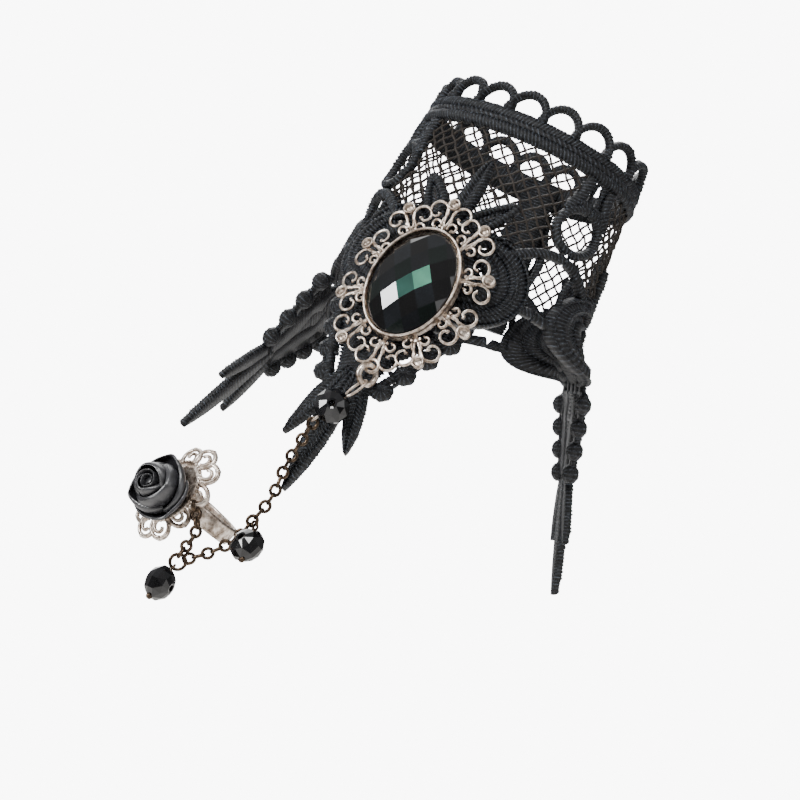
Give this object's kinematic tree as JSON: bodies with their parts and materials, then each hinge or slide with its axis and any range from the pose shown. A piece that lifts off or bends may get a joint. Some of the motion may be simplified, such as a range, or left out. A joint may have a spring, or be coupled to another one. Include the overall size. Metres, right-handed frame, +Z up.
{
  "type": "lace wrist cuff with chained finger ring",
  "caption": "Pointed lace wrist cuff with an oval filigree brooch, joined by a beaded chain to a rose finger ring.",
  "frame": {"origin": "middle of the wrist hollow, level with the lower edge of the lace border", "axes": "+Z up, the back of the hand faces -Y, the wrist's axis slants up the arm towards +X and +Z"},
  "size_m": [0.1141, 0.0703, 0.1176],
  "materials": {
    "lace": "satin embroidery thread on net",
    "tape": "matte woven tape",
    "silver": "antiqued silver with dark recesses",
    "gunmetal": "dark plated steel",
    "stone": "glossy black faceted resin",
    "satin": "satin ribbon"
  },
  "bodies": {
    "root": {"lace_border": "lace", "lace_panel_front": "lace", "lace_panel_right": "lace", "lace_panel_left": "lace", "lace_drop_front": "lace", "lace_drop_right": "lace", "lace_drop_left": "lace", "clasp": "tape", "brooch_frame": "silver", "brooch_stone": "stone", "jump_ring": "silver", "bead_1": "stone", "pin_1": "gunmetal", "bead_2": "stone", "pin_2": "gunmetal", "bead_3": "stone", "pin_3": "gunmetal", "chain_long": "gunmetal", "chain_short": "gunmetal", "ring_base": "silver", "ring_rose": "satin"}
  },
  "joints": []
}
